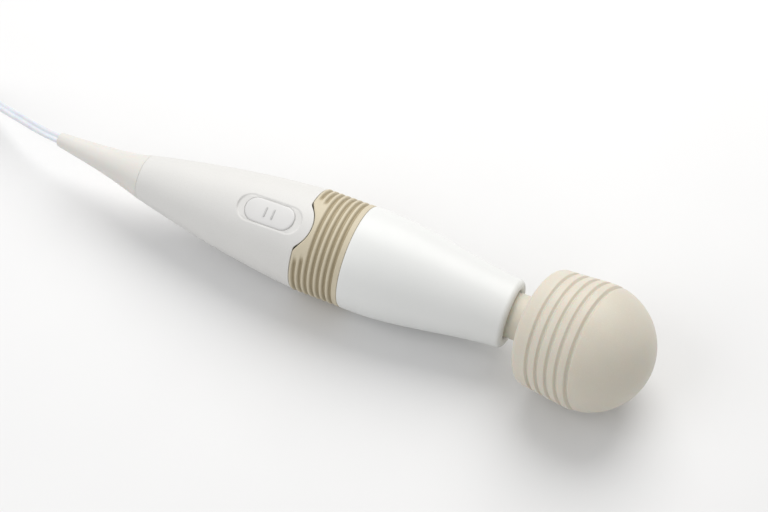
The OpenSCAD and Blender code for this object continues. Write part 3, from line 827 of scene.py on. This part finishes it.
def neck_piece(name, start, end, steps):
    """A length of the soft sleeve along the neck's middle line, with a slight waist."""
    angles = np.linspace(0, 2 * math.pi, 96, endpoint=False)
    rings = []
    for t in np.linspace(start, end, steps):
        point, along = neck_middle(t)
        side = np.cross([0, 0, 1], along)
        side /= np.linalg.norm(side)
        up = np.cross(along, side)
        r = NECK_R - WAIST_DEPTH * math.sin(math.pi * (t - WAIST_START) / WAIST_LEN) ** 2
        rings.append([point + r * (side * math.sin(a) + up * math.cos(a)) for a in angles])
    return tube_object(name, row(np.array(rings)), caps=False, sharp=60)


# The sleeve is made as two pieces that share the tilted ring where they meet. Neither piece is put on
# a body.
neck_rear = neck_piece("neck_sleeve_rear", -13.5, 0, 16)
finish_piece(neck_rear, None, "silicone", "neck_sleeve")
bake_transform(neck_rear)
neck_front = neck_piece("neck_sleeve_front", 0, BASE_AT + 1, 18)
finish_piece(neck_front, None, "silicone")
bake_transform(neck_front)

# ---------------------------------------------------------------- head
GROOVES = [4.7 - 5.6 * i for i in range(5)]
GROOVE_HALF, GROOVE_DEPTH = 1.35, 1.35


def dome_radius(x):
    """Radius of the head's skin at x from its middle, before the grooves."""
    if x >= 0:
        return math.sqrt(max(HEAD_R ** 2 - x * x, 0))
    return HEAD_R + (BARREL_R - HEAD_R) * x / CORNER_AT


def head_profile():
    """The head's outline from its rear opening, over the grooved barrel, to the dome's tip."""
    rear = CORNER_AT - CORNER_R
    points = [(-24.6, 12.25), (rear + 0.8, 12.25), (rear + 0.3, 12.5), (rear, 13.2)]
    points += [(rear, r) for r in (15, 18, 21, 24)]
    points += [tuple(p) for p in arc(CORNER_AT, rest_r, CORNER_R, 180, 92, 14)]
    x = CORNER_AT + 0.3
    while x < 6.8:
        r = dome_radius(x)
        for at in GROOVES:
            d = abs(x - at)
            if d < GROOVE_HALF:
                r -= GROOVE_DEPTH * (0.5 + 0.5 * math.cos(math.pi * d / GROOVE_HALF)) ** 0.75
        points.append((x, r))
        x += 0.13
    points += [(HEAD_R * math.sin(a), HEAD_R * math.cos(a))
               for a in np.radians(np.concatenate([np.arange(12.5, 84, 2.0), [84.5, 86.5, 88, 89.2]]))]
    return [(x + REACH, r) for x, r in points]


finish_piece(lathe("head_cover_soft", head_profile(), round_head, 220, 60), "head", "silicone",
             "head_cover")

# ---------------------------------------------------------------- floor and lights
floor = mesh_object("floor", [(-3, -3, 0), (3, -3, 0), (3, 3, 0), (-3, 3, 0)], [(0, 1, 2, 3)])
floor.location = (0, 0, -0.0002)
floor_look = Look("floor_pale", (0.78, 0.78, 0.78), 0.6)
floor_look.tint(floor_look.noise(90, 2), (0.77, 0.77, 0.77))
floor.data.materials.append(floor_look.mat)


def soft_light(name, place, size, power, color):
    """A round area light that faces the middle of the table."""
    light = bpy.data.lights.new(name, "AREA")
    light.shape = "DISK"
    light.size = size
    light.energy = power
    light.color = color
    obj = bpy.data.objects.new(name, light)
    obj.location = place
    obj.rotation_euler = Vector(place).to_track_quat("Z", "Y").to_euler()
    bpy.context.scene.collection.objects.link(obj)


soft_light("key", (-0.1, 0.75, 1.0), 1.2, 12.0, (1, 0.99, 0.975))
soft_light("fill", (-0.6, -0.65, 0.8), 1.0, 4.0, (0.98, 0.985, 1))
world = bpy.data.worlds.new("studio")
world.use_nodes = True
background = world.node_tree.nodes["Background"]
background.inputs["Color"].default_value = (1, 1, 1, 1)
background.inputs["Strength"].default_value = 0.55
bpy.context.scene.world = world
bpy.context.scene.view_settings.view_transform = "Standard"

bpy.context.view_layer.update()
